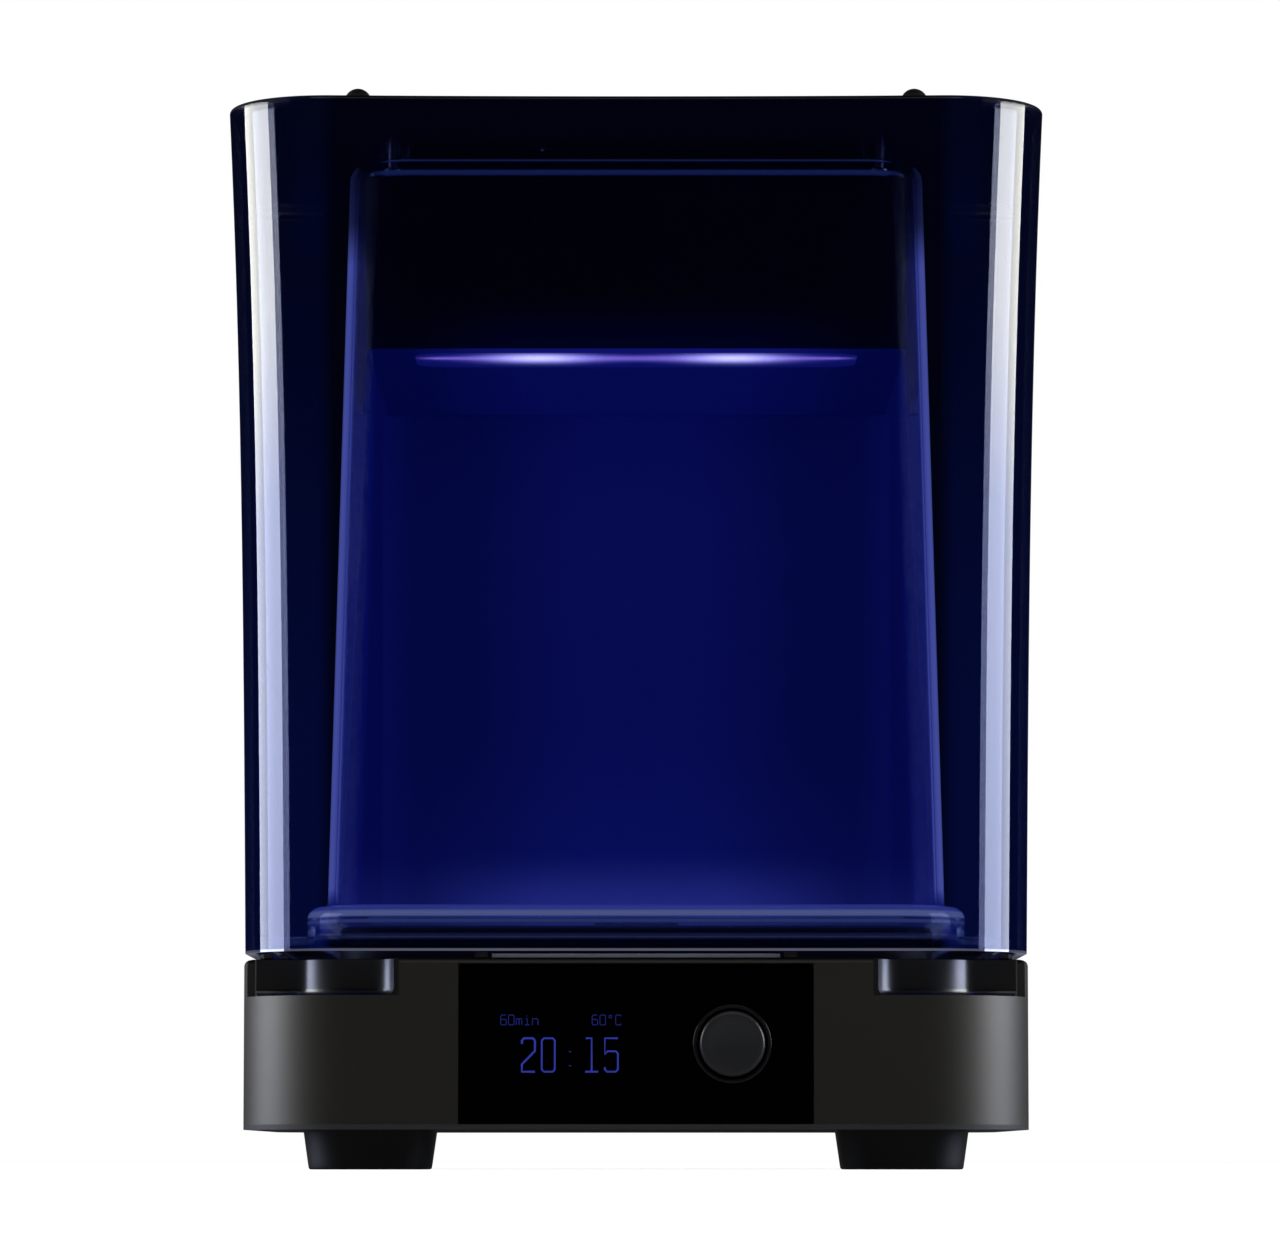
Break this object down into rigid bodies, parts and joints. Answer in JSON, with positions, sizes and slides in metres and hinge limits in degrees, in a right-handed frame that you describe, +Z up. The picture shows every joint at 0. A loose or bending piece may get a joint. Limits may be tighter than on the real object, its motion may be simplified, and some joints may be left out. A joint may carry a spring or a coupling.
{
  "type": "dental light curing unit",
  "caption": "Desktop light curing unit with a tinted hinged hood, clear inner liner, turntable, overhead and lower lamps, and a base with a display and a push-turn knob.",
  "frame": {"origin": "centre of the object's footprint on the surface that its feet stand on", "axes": "+Z up, -Y out of the front with the display, +X to the right when facing the front"},
  "size_m": [0.263, 0.2618, 0.345],
  "materials": {
    "charcoal_shell": "fine matte texture",
    "dark_inner_plastic": "satin",
    "dark_plate": "powder coat",
    "steel_screw": "zinc plated",
    "foot_rubber": "moulded matte",
    "gloss_black": "piano gloss",
    "panel_glass": "polished black window",
    "display_black": "smooth",
    "board_laminate": "solder mask",
    "encoder_metal": "turned",
    "white_nylon": "moulded",
    "knob_plastic": "soft satin",
    "knob_ring": "gloss",
    "clear_window": "frosted clear",
    "led_violet": "lit violet",
    "sink_aluminium": "extruded",
    "bracket_steel": "pressed",
    "motor_steel": "turned",
    "platter_clear": "polished clear",
    "lamp_black": "satin black",
    "fan_black": "moulded",
    "duct_steel": "folded sheet",
    "heater_aluminium": "finned",
    "reflector_sheet": "satin sheet",
    "hinge_steel": "black satin",
    "hood_tint": "polished navy tint",
    "liner_clear": "polished clear",
    "bumper_rubber": "moulded",
    "magnet_nickel": "nickel plated",
    "sensor_plastic": "moulded",
    "seal_silicone": "smooth silicone",
    "component_black": "moulded",
    "inlet_plastic": "moulded",
    "wire_sleeve": "braided sleeve"
  },
  "bodies": {
    "root": {"base_housing": "charcoal_shell", "rear_tower": "charcoal_shell", "back_wall": "dark_inner_plastic", "bottom_plate": "dark_plate", "bottom_screws": "steel_screw", "feet": "foot_rubber", "foot_screws": "steel_screw", "grip_insert_left": "gloss_black", "grip_insert_right": "gloss_black", "control_panel": "panel_glass", "display_module": "display_black", "control_board": "board_laminate", "encoder_body": "encoder_metal", "knob_bezel": "knob_ring", "chamber_deck": "dark_inner_plastic", "lower_window": "clear_window", "lower_board": "board_laminate", "lower_leds": "led_violet", "lower_heatsink": "sink_aluminium", "lower_screws": "steel_screw", "motor_bracket": "bracket_steel", "turntable_motor": "motor_steel", "lamp_housing": "lamp_black", "lamp_window": "clear_window", "lamp_board": "board_laminate", "lamp_leds": "led_violet", "lamp_heatsink": "sink_aluminium", "lamp_fan_frame": "fan_black", "heater_fan_frame": "fan_black", "heater_duct": "duct_steel", "heater_element": "heater_aluminium", "back_reflector": "reflector_sheet", "rear_leaf": "hinge_steel", "rear_leaf_screws": "steel_screw", "hinge_pin": "hinge_steel", "lid_sensor": "sensor_plastic", "front_seal": "seal_silicone", "front_bumpers": "bumper_rubber", "main_board": "board_laminate", "board_components": "component_black", "power_inlet": "inlet_plastic", "lamp_wiring": "wire_sleeve"},
    "hood": {"hood_cover": "hood_tint", "hood_liner": "liner_clear", "hood_spacers": "liner_clear", "spacer_screws": "steel_screw", "hood_domes": "bumper_rubber", "hood_magnet": "magnet_nickel", "hood_leaf": "hinge_steel", "hood_leaf_screws": "steel_screw"},
    "turntable": {"turntable": "platter_clear", "drive_hub": "white_nylon", "motor_shaft": "motor_steel"},
    "lamp_fan": {"lamp_fan_rotor": "fan_black"},
    "heater_fan": {"heater_fan_rotor": "fan_black"},
    "encoder_rotor": {"encoder_rotor": "white_nylon"},
    "knob": {"knob": "knob_plastic", "encoder_shaft": "encoder_metal"}
  },
  "joints": [
    {"name": "hood_hinge", "type": "hinge", "parent": "root", "child": "hood", "pos_m": [0, 0.092, 0.338], "axis": [-1, 0, 0], "range_deg": [0, 70]},
    {"name": "turntable_spin", "type": "hinge", "parent": "root", "child": "turntable", "pos_m": [0, -0.005, 0.08], "axis": [0, 0, 1], "continuous": true},
    {"name": "lamp_fan_spin", "type": "hinge", "parent": "root", "child": "lamp_fan", "pos_m": [0, -0.052, 0.3055], "axis": [0, 0, 1], "continuous": true},
    {"name": "heater_fan_spin", "type": "hinge", "parent": "root", "child": "heater_fan", "pos_m": [-0.0661, 0.0595, 0.052], "axis": [0, 0, 1], "continuous": true},
    {"name": "knob_turn", "type": "hinge", "parent": "root", "child": "encoder_rotor", "pos_m": [0.0303, -0.118, 0.0394], "axis": [0, -1, 0], "continuous": true},
    {"name": "knob_press", "type": "slide", "parent": "encoder_rotor", "child": "knob", "axis": [0, 1, 0], "range_m": [0, 0.0006], "stiffness_N_per_m": 800, "springref_m": -0.0015}
  ]
}
